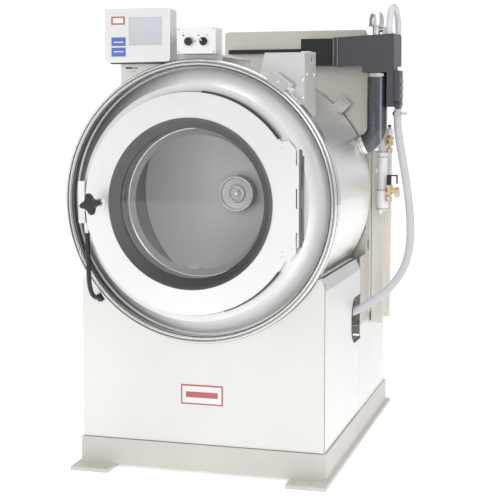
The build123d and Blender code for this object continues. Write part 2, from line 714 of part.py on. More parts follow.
def vacuum_breaker():
    """The bell-shaped vent on top of the injector, with its neck and side tee."""
    x, d = 451.0, 645.0
    outline = [(0, 0), (28, 0), (29, 3), (27, 8), (26, 28), (22, 42), (13, 52), (0, 56)]
    bell = revolve(Plane.XZ * make_face(Polyline(outline, close=True)), Axis.Z)
    bell = Pos(x, FRONT_Y + d, 1476) * bell
    neck = rod_z(14, 1438, 1476, x, d)
    tee = rod_x(9, x, 482, d, 1464) + rod_z(10, 1438, 1472, 482, d)
    barb = rod_z(14, 1438, 1451.8, *LOOP_NEAR)
    link = box(476, 500, d - 4, d + 4, 1440, 1451.6) + box(488, 500, LOOP_NEAR[1], d, 1440, 1451.6)
    roof = upright_plate([(303, 1420), (540, 1420), (540, 1448.16), (303, 1436.2)], d - 80, d + 40)
    return bell + neck + tee + barb + link - roof


def supply_pipe():
    """The upright water pipe with its couplings, up to the underside of the supply box."""
    pipe = rod_z(16.7, 812, 1335.8, PIPE_X, PIPE)
    pipe += rod_z(19.5, 1008, 1026, PIPE_X, PIPE) + rod_z(22, 815, 886, PIPE_X, PIPE)
    pipe += rod_z(8, 800, 815, PIPE_X - 8, PIPE)
    return pipe + box(PIPE_X - 26, PIPE_X - 10, PIPE, PANEL + 101.8, 950, 966)


def valve_stub(z):
    """The short brass run from the upright pipe to a valve that stands in front of it."""
    run = rod_x(8, PIPE_X, VALVE_X + 7, PIPE, z) + rod_y(8, VALVE, PIPE + 7, VALVE_X, z)
    return run - rod_z(22.2, z - 30, z + 30, PIPE_X, PIPE)


def solenoid_valve():
    """The upper valve: brass body, coil and cap, on a stub from the pipe."""
    body = valve_stub(1068) + rod_z(13, 1052, 1084, VALVE_X, VALVE)
    body += rod_z(9, 1084, 1112, VALVE_X, VALVE) + rod_z(6, 1112, 1119, VALVE_X, VALVE)
    return body + rod_z(11, 1024, 1042, VALVE_X, VALVE) + rod_z(7, 1036, 1056, VALVE_X, VALVE)


def ball_valve():
    """The lower valve: brass body with an elbow and its inlet nut."""
    body = valve_stub(892) + rod_z(12, 874, 907, VALVE_X, VALVE)
    body += rod_x(9, VALVE_X, VALVE_X + 34, VALVE, 886) + rod_x(13, VALVE_X + 26, VALVE_X + 36, VALVE, 886)
    return body + rod_z(11, 846, 862, VALVE_X, VALVE) + rod_z(7, 858, 876, VALVE_X, VALVE)


def valve_lever():
    """The cranked lever of the lower valve, with its post."""
    x = VALVE_X
    post = rod_z(8, 907.4, 944, x, VALVE)
    bar = box(x, x + 30, VALVE - 4, VALVE + 4, 939, 944)
    return post + bar + box(x + 26, x + 31, VALVE - 4, VALVE + 4, 912, 944)


# ---- routes and shared places ------------------------------------------
LUG_ANGLE = 35.0
TIE_ANGLES = (-46.0, 46.0)
TIE = 632.0
DRAIN = 330.0
DRAIN_X = -155.0
DRAIN_Z = 330.0
SWITCH_X = (-28.0, 20.0)
SWITCH_Z = 1392.0
FIXED_KNUCKLES = ((762, 806), (880, 938), (1012, 1056))
DOOR_KNUCKLES = ((806.6, 879.4), (938.6, 1011.4))
HOSE_X = 528.0
HOSE = 645.0
HOSE_RADIUS = 14.0
CABLE_X = -350.0
CABLE = -84.0
CABLE_RADIUS = 7.5
LOOP_NEAR = (503.0, 608.0)
LOOP_FAR = (512.0, 756.0)
LOOP_RADIUS = 11.0

CABLE_ROUTE = [(-350, -84, 785.6), (-349, -86, 742), (-346, -87, 698), (-346, -86, 656), (-347, -80, 616)]
CABLE_ROUTE += [(-347, -60, 584), (-346, -28, 567), (-344, 7, 564)]
CABLE_END = CABLE_ROUTE[-1]

HOSE_ROUTE = [(528, 645, 1181.3), (529, 645, 1128), (537, 644, 1068), (548, 643, 1008), (559, 641, 948)]
HOSE_ROUTE += [(569, 637, 888), (577, 632, 828), (582, 625, 768), (583, 616, 708), (575, 604, 650)]
HOSE_ROUTE += [(554, 590, 598), (522, 575, 554), (484, 560, 519), (445, 542, 493), (410, 519, 474)]
HOSE_ROUTE += [(382, 488, 464)]

LOOP_ROUTE = [(503, 608, 1452), (503, 608, 1491.8), (504, 627.8, 1526.2), (506, 662.2, 1546)]
LOOP_ROUTE += [(508, 701.8, 1546), (510, 736.2, 1526.2), (512, 756, 1491.8), (512, 756, 1452)]


def cord(name, route, radius):
    """A flexible tube along its route, with its bends printed."""
    bends = soft_bends(route)
    solid, path = tube_along(route, radius, bends)
    print(name, "length", round(path.length), "bends", [round(b) for b in bends])
    print("  volume ratio", round(solid.volume / (math.pi * radius ** 2 * path.length), 4))
    return solid


makers = {
    "base_frame": base_frame,
    "front_panel": front_panel,
    "side_panel_right": lambda: side_panel(1),
    "side_panel_left": lambda: side_panel(-1),
    "drive_cover": drive_cover,
    "rear_cover": rear_cover,
    "shell_saddle": shell_saddle,
    "shell_cylinder": shell_cylinder,
    "shell_back": shell_back,
    "shell_head": shell_head,
    "clamp_ring": clamp_ring,
    "clamp_lug": clamp_lug,
    "tie_brackets": tie_brackets,
    "bracket_bolts": bracket_bolts,
    "control_stand": control_stand,
    "lifting_bracket": lifting_bracket,
    "wire_channel": wire_channel,
    "control_box": control_box,
    "touch_screen": touch_screen,
    "switch_box": switch_box,
    "switch_plate": switch_plate,
    "start_button": start_button,
    "selector_knob": selector_knob,
    "panel_screws": panel_screws,
    "door_plate": door_plate,
    "door_gasket": door_gasket,
    "door_glass": door_glass,
    "hinge_bracket": hinge_bracket,
    "hinge_pin": hinge_pin,
    "latch_bracket": latch_bracket,
    "lock_body": lock_body,
    "star_knob": star_knob,
    "latch_stud": latch_stud,
    "drum_basket": drum_basket,
    "drum_ribs": drum_ribs,
    "hub_cap": hub_cap,
    "drum_shaft": drum_shaft,
    "bearing_housing": bearing_housing,
    "drive_frame": drive_frame,
    "motor": motor,
    "drum_pulley": drum_pulley,
    "motor_pulley": motor_pulley,
    "drive_belts": drive_belts,
    "drain_valve": drain_valve,
    "rear_panel": rear_panel,
    "service_column": service_column,
    "injector_body": injector_body,
    "injector_manifold": injector_manifold,
    "port_caps": port_caps,
    "inlet_elbow": inlet_elbow,
    "hose_clamps": hose_clamps,
    "hose_socket": hose_socket,
    "vacuum_breaker": vacuum_breaker,
    "supply_pipe": supply_pipe,
    "solenoid_valve": solenoid_valve,
    "ball_valve": ball_valve,
    "valve_lever": valve_lever,
}

for name, maker in makers.items():
    parts[name] = maker()

parts["lock_cable"] = cord("lock_cable", CABLE_ROUTE, CABLE_RADIUS)
parts["supply_hose"] = cord("supply_hose", HOSE_ROUTE, HOSE_RADIUS)
parts["vent_loop"] = cord("vent_loop", LOOP_ROUTE, LOOP_RADIUS)

os.makedirs("parts", exist_ok=True)
for name, solid in parts.items():
    export_step(solid, f"parts/{name}.step")
print(len(parts), "nodes")
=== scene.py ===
import math

import bmesh
import bpy
from mathutils import Matrix, Vector


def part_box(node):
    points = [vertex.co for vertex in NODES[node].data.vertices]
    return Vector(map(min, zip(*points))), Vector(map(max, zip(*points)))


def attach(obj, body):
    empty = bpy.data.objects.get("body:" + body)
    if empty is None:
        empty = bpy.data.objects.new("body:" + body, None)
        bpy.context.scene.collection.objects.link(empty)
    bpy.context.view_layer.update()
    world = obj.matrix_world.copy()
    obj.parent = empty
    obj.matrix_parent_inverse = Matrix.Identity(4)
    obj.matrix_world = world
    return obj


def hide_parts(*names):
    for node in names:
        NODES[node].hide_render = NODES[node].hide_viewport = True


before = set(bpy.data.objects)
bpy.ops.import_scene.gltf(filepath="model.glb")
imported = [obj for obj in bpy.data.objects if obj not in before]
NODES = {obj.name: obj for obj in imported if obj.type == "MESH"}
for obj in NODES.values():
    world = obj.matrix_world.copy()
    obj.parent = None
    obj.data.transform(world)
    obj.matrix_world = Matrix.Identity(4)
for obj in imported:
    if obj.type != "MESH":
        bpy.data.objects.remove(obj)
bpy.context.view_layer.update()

LOOKS = {}

# The base's front face along the frame's y axis, in metres.
FRONT = -0.557

# Places are in millimetres: x to the right, a depth behind the base's front face, and a height. at() turns
# them into the frame's metres, which the looks, the lamps round the machine and the floor use directly.
DOOR_FACE = -104
VALVE_X = 488
VALVE_DEPTH = 726
UPPER_VALVE = 1068
LOWER_VALVE = 886
PIPE_X = 459
PIPE_DEPTH = 752

FORWARD = (0, -1, 0)
UP = (0, 0, 1)
DOWN = (0, 0, -1)
RIGHT = (1, 0, 0)


# ---- places and meshes ----------------------------------------------------
def middle(node, axis):
    """The middle of a CAD node along one axis (0, 1 or 2), in metres."""
    low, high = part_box(node)
    return (low[axis] + high[axis]) / 2


def face_depth(node):
    """How deep a CAD node's foremost face lies, in millimetres."""
    low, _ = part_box(node)
    return 1000 * (low[1] - FRONT)


# Places that the frame gives: the drum's axis, the knob, the faces that carry plates, the body's side.
AXIS_Z = middle("door_glass", 2)
AXIS = 1000 * AXIS_Z
KNOB_X = 1000 * middle("star_knob", 0)
CONTROL_FACE = face_depth("switch_plate")
STAND_FACE = face_depth("control_stand")
BODY_HALF = 1000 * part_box("side_panel_right")[1][0]


def at(x, d, z):
    """A place from millimetres: across, depth behind the base's front, and height."""
    return Vector((x / 1000, FRONT + d / 1000, z / 1000))


def piece_from(bm, name, look, body, smooth=30):
    """Turns a bmesh into a finished piece, with its look and its body."""
    bmesh.ops.recalc_face_normals(bm, faces=bm.faces)
    mesh = bpy.data.meshes.new(name)
    bm.to_mesh(mesh)
    bm.free()
    obj = bpy.data.objects.new(name, mesh)
    bpy.context.scene.collection.objects.link(obj)
    mesh.materials.append(LOOKS[look][0])
    for face in mesh.polygons:
        face.use_smooth = True
    mesh.set_sharp_from_angle(angle=math.radians(smooth))
    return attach(obj, body)


def add_circle(bm, radius, height, place, turns):
    """A ring of vertices about a place's own z axis; radius and height in millimetres."""
    ring = []
    for k in range(turns):
        a = math.tau * k / turns
        spot = Vector((radius * math.cos(a), radius * math.sin(a), height)) / 1000
        ring.append(bm.verts.new(place @ spot))
    return ring


def add_lathe(bm, profile, place, turns=48):
    """Adds a solid of revolution from (radius, height) millimetre points; place sets its axis."""
    rings = []
    for radius, height in profile:
        if radius == 0:
            rings.append([bm.verts.new(place @ Vector((0, 0, height / 1000)))])
        else:
            rings.append(add_circle(bm, radius, height, place, turns))
    for low, high in zip(rings, rings[1:]):
        join_rings(bm, low, high)
    for end in (rings[0], rings[-1]):
        if len(end) > 2:
            bm.faces.new(end)


def join_rings(bm, low, high):
    """Faces between two rings of vertices, either of which may be a single point."""
    count = max(len(low), len(high))
    for k in range(count):
        after = (k + 1) % count
        if len(low) == 1:
            bm.faces.new((low[0], high[k], high[after]))
        elif len(high) == 1:
            bm.faces.new((low[k], low[after], high[0]))
        else:
            bm.faces.new((low[k], low[after], high[after], high[k]))


def add_box(bm, place, size, edge, segments=2, profile=0.5):
    """Adds a rounded box of a size in metres, centred at a place; its edge radius is in millimetres."""
    corners = bmesh.ops.create_cube(bm, size=1)["verts"]
    for v in corners:
        v.co = place @ Vector((v.co.x * size[0], v.co.y * size[1], v.co.z * size[2]))
    edges = list({e for v in corners for e in v.link_edges})
    bmesh.ops.bevel(bm, geom=edges, offset=edge / 1000, segments=segments, affect="EDGES", profile=profile)


def frame_at(x, d, z, toward):
    """A transform at a place, whose own z axis points toward a direction."""
    turn = Vector(toward).to_track_quat("Z", "Y").to_matrix().to_4x4()
    return Matrix.Translation(at(x, d, z)) @ turn


# ---- looks ----------------------------------------------------------------
def map_range(tree, value, start, end, low, high):
    """Maps a value from start..end onto low..high; low may be another node's output."""
    ramp = tree.nodes.new("ShaderNodeMapRange")
    for key, number in zip(("From Min", "From Max", "To Max"), (start, end, high)):
        ramp.inputs[key].default_value = number
    if isinstance(low, bpy.types.NodeSocket):
        tree.links.new(low, ramp.inputs["To Min"])
    else:
        ramp.inputs["To Min"].default_value = low
    tree.links.new(value, ramp.inputs["Value"])
    return ramp.outputs["Result"]


def multiply(tree, first, second):
    """The product of two colours."""
    mix = tree.nodes.new("ShaderNodeMix")
    mix.data_type = "RGBA"
    mix.blend_type = "MULTIPLY"
    mix.inputs["Factor"].default_value = 1.0
    tree.links.new(first, mix.inputs["A"])
    tree.links.new(second, mix.inputs["B"])
    return mix.outputs["Result"]


def vector_math(tree, operation, first, second):
    """A vector node with one linked and one fixed input."""
    node = tree.nodes.new("ShaderNodeVectorMath")
    node.operation = operation
    tree.links.new(first, node.inputs[0])
    node.inputs[1].default_value = second
    return node


class Shader:
    """A Principled material with short ways to add its nodes."""

    def __init__(self, name, slot, colour, roughness, metallic=0.0):
        self.mat = bpy.data.materials.new(name)
        self.mat.use_nodes = True
        self.tree = self.mat.node_tree
        self.nodes = self.tree.nodes
        self.links = self.tree.links
        self.shader = self.nodes["Principled BSDF"]
        self.shader.inputs["Base Color"].default_value = (*colour, 1)
        self.shader.inputs["Roughness"].default_value = roughness
        self.shader.inputs["Metallic"].default_value = metallic
        self.coords = self.nodes.new("ShaderNodeTexCoord").outputs["Object"]
        LOOKS[name] = (self.mat, slot)

    def noise(self, scale, stretch=(1, 1, 1), detail=3.0, rough=0.55):
        """Noise in metres: scale is how many blotches a metre holds, stretched by axis."""
        mapping = self.nodes.new("ShaderNodeMapping")
        mapping.inputs["Scale"].default_value = stretch
        texture = self.nodes.new("ShaderNodeTexNoise")
        texture.inputs["Scale"].default_value = scale
        texture.inputs["Detail"].default_value = detail
        texture.inputs["Roughness"].default_value = rough
        self.links.new(self.coords, mapping.inputs["Vector"])
        self.links.new(mapping.outputs["Vector"], texture.inputs["Vector"])
        return texture.outputs["Fac"]

    def spread(self, value, low, high, start=0.3, end=0.7):
        """Maps a value onto low..high; the usual start and end are those of noise."""
        return map_range(self.tree, value, start, end, low, high)

    def tint(self, fac, dark, light):
        """Varies the base colour between two colours by noise."""
        mix = self.nodes.new("ShaderNodeMix")
        mix.data_type = "RGBA"
        mix.inputs["A"].default_value = (*dark, 1)
        mix.inputs["B"].default_value = (*light, 1)
        self.links.new(self.spread(fac, 0, 1), mix.inputs["Factor"])
        self.links.new(mix.outputs["Result"], self.shader.inputs["Base Color"])

    def darken(self, value, start, end, low, high=1.0):
        """Multiplies the base colour by low at start, changing to high at end."""
        self.times(self.spread(value, low, high, start, end))

    def painted_light_bands(self, value, span, tones):
        """Multiplies the base colour by tones spread over a span of places: painted highlight and shade."""
        ramp = self.nodes.new("ShaderNodeValToRGB")
        peak = max(tone for _, tone in tones)
        points = ramp.color_ramp.elements
        while len(points) < len(tones):
            points.new(0.5)
        for point, (place, tone) in zip(points, tones):
            point.position = place
            point.color = (tone / peak, tone / peak, tone / peak, 1)
        self.links.new(self.spread(value, 0, 1, *span), ramp.inputs["Fac"])
        level = self.nodes.new("ShaderNodeVectorMath")
        level.operation = "SCALE"
        level.inputs["Scale"].default_value = peak
        self.links.new(ramp.outputs["Color"], level.inputs[0])
        self.times(level.outputs["Vector"])

    def times(self, value):
        """Multiplies the base colour, already tinted, by a value or a colour."""
        socket = self.shader.inputs["Base Color"]
        product = multiply(self.tree, socket.links[0].from_socket, value)
        self.links.new(product, socket)

    def along(self, axis):
        """The place along one axis, in metres."""
        split = self.nodes.new("ShaderNodeSeparateXYZ")
        self.links.new(self.coords, split.inputs["Vector"])
        return split.outputs[axis.upper()]

    def from_axis(self):
        """The distance from the drum's axis, in metres."""
        shift = vector_math(self.tree, "SUBTRACT", self.coords, (0, 0, AXIS_Z))
        flat = vector_math(self.tree, "MULTIPLY", shift.outputs["Vector"], (1, 0, 1))
        length = self.nodes.new("ShaderNodeVectorMath")
        length.operation = "LENGTH"
        self.links.new(flat.outputs["Vector"], length.inputs[0])
        return length.outputs["Value"]

    def gloss(self, fac, low, high):
        """Varies the roughness by noise."""
        self.links.new(self.spread(fac, low, high), self.shader.inputs["Roughness"])

    def bump(self, fac, height, strength):
        """Raises the surface by noise, height in millimetres."""
        node = self.nodes.new("ShaderNodeBump")
        node.inputs["Distance"].default_value = height / 1000
        node.inputs["Strength"].default_value = strength
        self.links.new(fac, node.inputs["Height"])
        self.links.new(node.outputs["Normal"], self.shader.inputs["Normal"])


def scaled(colour, factor):
    """A colour made lighter or darker."""
    return tuple(min(1.0, c * factor) for c in colour)


def brushed(name, slot, colour, roughness, along, metallic=1.0, wave=0.25):
    """Brushed sheet: long fine strokes along one axis over soft broad blotches."""
    look = Shader(name, slot, colour, roughness, metallic)
    stretch = [1, 1, 1]
    stretch["xyz".index(along)] = 0.02
    strokes = look.noise(900, stretch, 2)
    blotches = look.noise(3, detail=2)
    look.tint(blotches, scaled(colour, 0.965), scaled(colour, 1.02))
    look.gloss(strokes, roughness - 0.05, roughness + 0.07)
    look.bump(strokes, 0.02, wave)
    return look


def plastic(name, slot, colour, roughness, grain=1500, height=0.05, blotch=0.93):
    """Moulded plastic: a fine pebble and slight unevenness of tone and gloss."""
    look = Shader(name, slot, colour, roughness)
    look.tint(look.noise(14, detail=3), scaled(colour, blotch), scaled(colour, 1.05))
    look.gloss(look.noise(40), roughness - 0.05, roughness + 0.08)
    look.bump(look.noise(grain, detail=2), height, 0.35)
    return look


def paint(name, slot, colour, roughness, grain=500, height=0.06):
    """Sprayed paint: orange peel, faint dust and tone."""
    look = Shader(name, slot, colour, roughness)
    look.tint(look.noise(6, detail=4), scaled(colour, 0.95), scaled(colour, 1.02))
    look.gloss(look.noise(9), roughness - 0.06, roughness + 0.08)
    look.bump(look.noise(grain, detail=1), height, 0.3)
    return look


def casting(name, slot, colour):
    """A rough painted casting with darker hollows."""
    look = Shader(name, slot, colour, 0.6, 0.3)
    grain = look.noise(260, detail=5, rough=0.7)
    look.tint(grain, scaled(colour, 0.7), scaled(colour, 1.15))
    look.bump(grain, 0.5, 0.5)
    return look


def glass_look(name, slot, colour, share):
    """Thin clear glass: mostly open, with a faint mirror skin that covers this share of it."""
    look = Shader(name, slot, colour, 0.03, 1.0)
    look.shader.inputs["Alpha"].default_value = share
    look.gloss(look.noise(6), 0.01, 0.05)


# Spans in metres over which the looks' painted shade, shadow and highlights change: across the hinge line,
# and outward from the drum's axis.
HINGE_LINE = (0.3490, 0.3505)
LIP_EDGE = (0.243, 0.250)
PLATEAU_EDGE = (0.370, 0.376)
DRUM_WALL = (0.371, 0.377)
ELBOW_WIDTH = (0.420, 0.492)

# The elbow's painted highlight and shade: tone across its width, from its left edge to its right edge.
ELBOW_HIGHLIGHT_AND_SHADE = [(0.0, 0.35), (0.2, 0.7), (0.38, 1.25), (0.55, 0.8), (0.70, 0.9), (0.74, 4.5), (0.78, 4.5)]
ELBOW_HIGHLIGHT_AND_SHADE += [(0.83, 0.8), (1.0, 0.6)]


def make_sheet_looks():
    """The body's sheets, the tub, the door and the boxes."""
    brushed("sheet", "sheet_steel", (0.80, 0.79, 0.77), 0.46, "x")
    brushed("sheet_side", "sheet_steel", (0.80, 0.80, 0.79), 0.42, "y")
    panel = brushed("sheet_upright", "sheet_steel", (0.77, 0.73, 0.68), 0.40, "z")
    # Painted dark reflection: the rear panel's sheet darker towards its right.
    panel.darken(panel.along("x"), 0.15, 0.40, 1.0, 0.80)
    brushed("plain", "plain_steel", (0.72, 0.71, 0.69), 0.34, "x")
    tub = brushed("tub", "plain_steel", (0.98, 0.98, 0.97), 0.32, "y", 0.85, 0.03)
    # Painted shade: the tub darker towards its top.
    tub.darken(tub.along("z"), 0.98, 1.12, 1.0, 0.60)
    brushed("stand", "plain_steel", (0.82, 0.81, 0.79), 0.44, "x")
    brushed("cheek", "plain_steel", (0.78, 0.78, 0.77), 0.42, "z")
    head = brushed("head", "bright_steel", (0.92, 0.92, 0.915), 0.42, "x", 0.7, 0.03)
    # Painted dark reflection: the head darker at its left, far more on the cone outside the plateau.
    cone_reflection = head.spread(head.from_axis(), 0.85, 0.32, *PLATEAU_EDGE)
    head.darken(head.along("x"), -0.30, -0.04, cone_reflection)
    # Painted shade: the head much darker inside its lip, in the drum's mouth.
    head.darken(head.from_axis(), *LIP_EDGE, 0.28)
    door = brushed("door", "door_steel", (0.90, 0.90, 0.89), 0.44, "x")
    # Painted shadow: the door's hinge knuckles dark past the hinge line.
    door.darken(door.along("x"), *HINGE_LINE, 1.0, 0.22)
    brushed("box", "box_steel", (0.90, 0.90, 0.89), 0.48, "x")
    brushed("box_bright", "box_steel", (0.97, 0.97, 0.965), 0.50, "x")


def make_fitting_looks():
    """Bands, fittings, pipes and valves."""
    brushed("ring", "bright_steel", (0.84, 0.84, 0.83), 0.20, "y", wave=0.03)
    # Dark steel as painted shade: in the clamp ring's grooves and beside the door's edge.
    brushed("shade_steel", "bright_steel", (0.16, 0.16, 0.155), 0.40, "y", wave=0.03)
    brushed("fitting", "bright_steel", (0.76, 0.75, 0.73), 0.22, "y", wave=0.06)
    hinge = brushed("hinge", "bright_steel", (0.88, 0.88, 0.88), 0.40, "z", wave=0.05)
    # Painted shadow: the hinge bright at its knuckle edge and dark past the hinge line.
    hinge.darken(hinge.along("x"), *HINGE_LINE, 1.0, 0.24)
    brushed("bell", "bright_chrome", (0.72, 0.72, 0.73), 0.30, "z", wave=0.04)
    brushed("chrome", "bright_chrome", (0.82, 0.82, 0.83), 0.16, "z", wave=0.04)
    brushed("zinc", "zinc_steel", (0.82, 0.79, 0.755), 0.42, "z")
    brushed("brass", "valve_brass", (0.80, 0.63, 0.38), 0.26, "z", wave=0.08)
    pipe = brushed("pipe", "zinc_steel", (0.93, 0.93, 0.95), 0.34, "z", metallic=0.1)
    pipe.bump(pipe.noise(300, detail=2), 0.05, 0.3)
    brushed("pipe_edge", "zinc_steel", (0.50, 0.50, 0.52), 0.36, "z", metallic=0.5)
    thread = brushed("thread", "bright_chrome", (0.70, 0.70, 0.70), 0.22, "x", wave=0.04)
    turns = thread.nodes.new("ShaderNodeTexWave")
    turns.bands_direction = "Y"
    turns.inputs["Scale"].default_value = 200.0
    thread.links.new(thread.coords, turns.inputs["Vector"])
    thread.bump(turns.outputs["Fac"], 0.4, 0.8)


def make_drum_looks():
    """The drum's dull steel with painted shade, darker at its right, on its wall and at its mouth, and its
    hub and shaft.
    """
    drum = brushed("drum", "drum_steel", (0.88, 0.89, 0.87), 0.55, "z", 0.15, 0.02)
    # Painted shade: darker towards the right, on the drum's wall and at its mouth.
    drum.darken(drum.along("x"), -0.10, 0.20, 1.0, 0.60)
    drum.darken(drum.from_axis(), *DRUM_WALL, 1.0, 0.26)
    drum.darken(drum.along("y"), -0.52, -0.50, 0.40)
    brushed("hub", "drum_steel", (0.56, 0.57, 0.56), 0.40, "z", 0.2, 0.02)
    # A brighter copy of the hub's steel: painted highlight on its rims and dome nut.
    brushed("hub_highlight", "drum_steel", (0.95, 0.95, 0.95), 0.25, "z", 0.35, 0.03)
    brushed("shaft", "shaft_steel", (0.6, 0.6, 0.6), 0.3, "x")


def make_paint_looks():
    """Painted and cast pieces."""
    paint("base", "base_paint", (0.62, 0.60, 0.565), 0.5)
    paint("white", "white_paint", (0.84, 0.84, 0.82), 0.4)
    cream = (0.80, 0.78, 0.74)
    glowing_liner = paint("glowing_liner", "white_paint", cream, 0.5)
    # The liner glows a little: painted light that keeps the hose opening's wall pale.
    glowing_liner.shader.inputs["Emission Color"].default_value = (*cream, 1)
    glowing_liner.shader.inputs["Emission Strength"].default_value = 0.3
    paint("mark_red", "white_paint", (0.50, 0.13, 0.14), 0.45)
    paint("mark_blue", "white_paint", (0.10, 0.17, 0.50), 0.45)
    paint("mark_grey", "white_paint", (0.10, 0.10, 0.11), 0.5)
    paint("frame_grey", "frame_paint", (0.38, 0.38, 0.38), 0.5)
    paint("motor_grey", "motor_paint", (0.16, 0.19, 0.23), 0.45)
    casting("cast", "cast_grey", (0.13, 0.135, 0.14))


def make_soft_looks():
    """Plastics, rubbers, glass and hoses."""
    plastic("black", "black_knob", (0.025, 0.026, 0.028), 0.38)
    dark = plastic("dark", "dark_plastic", (0.064, 0.066, 0.073), 0.42, 1200, 0.04)
    dark.darken(dark.along("x"), 0.300, 0.304, 0.20)
    # Lighter plastic for the painted highlight on the injector's ridges.
    plastic("ridge_highlight", "dark_plastic", (0.26, 0.27, 0.30), 0.35)
    plastic("caps", "light_plastic", (0.30, 0.31, 0.33), 0.40)
    plastic("coil", "light_plastic", (0.80, 0.80, 0.80), 0.35)
    rubber = plastic("rubber", "black_rubber", (0.040, 0.045, 0.056), 0.22, 700, 0.01)
    elbow = plastic("elbow", "black_rubber", (0.05, 0.056, 0.07), 0.24, 700, 0.01)
    # Painted highlight and shade: a bright streak down the elbow, darker towards its edges.
    elbow.painted_light_bands(elbow.along("x"), ELBOW_WIDTH, ELBOW_HIGHLIGHT_AND_SHADE)
    for polished, roughness in ((rubber, 0.06), (elbow, 0.05)):
        polished.shader.inputs["Coat Weight"].default_value = 1.0
        polished.shader.inputs["Coat Roughness"].default_value = roughness
    plastic("conduit", "black_rubber", (0.016, 0.017, 0.020), 0.32)
    plastic("trim", "black_rubber", (0.02, 0.02, 0.022), 0.42)
    gasket = plastic("gasket", "gasket", (0.098, 0.102, 0.107), 0.55, 900, 0.08)
    gasket.darken(gasket.along("z"), 0.66, 0.84, 0.50)
    plastic("screen", "screen", (0.53, 0.56, 0.60), 0.30, 2500, 0.004, 0.98)
    plastic("hose", "white_hose", (0.55, 0.548, 0.585), 0.26, 200, 0.02, 0.97)
    clear = plastic("clear", "clear_hose", (0.86, 0.86, 0.90), 0.16, 200, 0.02, 0.97)
    clear.shader.inputs["Transmission Weight"].default_value = 0.45
    glass_look("glass", "clear_glass", (0.96, 0.98, 0.97), 0.045)


NODE_LOOKS = {
    "base": ["base_frame"],
    "sheet": ["front_panel"],
    "sheet_side": ["side_panel_right", "side_panel_left", "drive_cover", "rear_cover"],
    "sheet_upright": ["rear_panel"],
    "plain": ["shell_saddle", "shell_back", "wire_channel"],
    "cheek": ["lifting_bracket"],
    "tub": ["shell_cylinder"],
    "stand": ["control_stand"],
    "ring": ["clamp_ring", "clamp_lug"],
    "head": ["shell_head"],
    "fitting": ["tie_brackets", "bracket_bolts", "panel_screws", "hose_clamps"],
    "hinge": ["hinge_bracket", "hinge_pin"],
    "door": ["door_plate"],
    "box": ["control_box"],
    "box_bright": ["switch_box", "switch_plate"],
    "screen": ["touch_screen"],
    "black": ["start_button", "selector_knob", "star_knob", "valve_lever"],
    "gasket": ["door_gasket"],
    "glass": ["door_glass"],
    "white": ["latch_bracket"],
    "chrome": ["lock_body"],
    "bell": ["vacuum_breaker"],
    "thread": ["latch_stud"],
    "drum": ["drum_basket", "drum_ribs"],
    "hub": ["hub_cap"],
    "shaft": ["drum_shaft"],
    "cast": ["bearing_housing", "drum_pulley", "motor_pulley"],
    "frame_grey": ["drive_frame"],
    "motor_grey": ["motor"],
    "rubber": ["drive_belts"],
    "elbow": ["inlet_elbow"],
    "dark": ["drain_valve", "injector_body", "injector_manifold"],
    "caps": ["port_caps", "hose_socket"],
    "zinc": ["service_column"],
    "pipe": ["supply_pipe"],
    "brass": ["solenoid_valve", "ball_valve"],
}


def dress_nodes():
    """Gives every CAD node its look."""
    for look, names in NODE_LOOKS.items():
        for name in names:
            for slot in NODES[name].material_slots:
                slot.material = LOOKS[look][0]


# ---- cords ----------------------------------------------------------------
def curve_piece(name, look, body, points, radius, kind, sides):
    """A round tube along points (x, depth, z); kind is POLY, or NURBS for one that bends smoothly."""
    curve = bpy.data.curves.new(name, "CURVE")
    curve.dimensions = "3D"
    curve.bevel_depth = radius / 1000
    curve.bevel_resolution = sides
    curve.use_fill_caps = True
    curve.resolution_u = 16
    line = curve.splines.new(kind)
    line.points.add(len(points) - 1)
    for spot, point in zip(line.points, points):
        spot.co = (*at(*point), 1)
    if kind == "NURBS":
        line.order_u = 3
        line.use_endpoint_u = True
    obj = bpy.data.objects.new(name, curve)
    bpy.context.scene.collection.objects.link(obj)
    curve.materials.append(LOOKS[look][0])
    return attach(obj, body)


def cord(name, node, points, radius, look):
    """A flexible tube whose line follows the same points as its solid."""
    obj = curve_piece(name, look, "machine", points, radius, "NURBS", 6)
    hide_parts(node)


CABLE_ROUTE = [(-350, -84, 785.6), (-349, -86, 742), (-346, -87, 698), (-346, -86, 656), (-347, -80, 616)]
CABLE_ROUTE += [(-347, -60, 584), (-346, -28, 567), (-344, 7, 564)]

HOSE_ROUTE = [(528, 645, 1181.3), (529, 645, 1128), (537, 644, 1068), (548, 643, 1008), (559, 641, 948)]
HOSE_ROUTE += [(569, 637, 888), (577, 632, 828), (582, 625, 768), (583, 616, 708), (575, 604, 650)]
HOSE_ROUTE += [(554, 590, 598), (522, 575, 554), (484, 560, 519), (445, 542, 493), (410, 519, 474)]
HOSE_ROUTE += [(382, 488, 464)]

LOOP_ROUTE = [(503, 608, 1452), (503, 608, 1491.8), (504, 627.8, 1526.2), (506, 662.2, 1546)]
LOOP_ROUTE += [(508, 701.8, 1546), (510, 736.2, 1526.2), (512, 756, 1491.8), (512, 756, 1452)]


def make_cords():
    """The latch's conduit, the supply hose and the vent hose."""
    cord("lock_conduit", "lock_cable", CABLE_ROUTE, 7.5, "conduit")
    cord("supply_hose_tube", "supply_hose", HOSE_ROUTE, 14, "hose")
    cord("vent_hose_tube", "vent_loop", LOOP_ROUTE, 11, "clear")


# ---- detail pieces --------------------------------------------------------
def lathe_piece(name, look, body, parts, turns=48, smooth=30):
    """One piece of several turned solids, each a profile and a place."""
    bm = bmesh.new()
    for profile, place in parts:
        add_lathe(bm, profile, place, turns)
    return piece_from(bm, name, look, body, smooth)


def block_piece(name, look, body, blocks, edge=0.6):
    """One piece of several rounded blocks, each a low and a high corner."""
    bm = bmesh.new()
    for low, high in blocks:
        a, b = at(*low), at(*high)
        add_box(bm, Matrix.Translation((a + b) / 2), b - a, edge)
    return piece_from(bm, name, look, body)


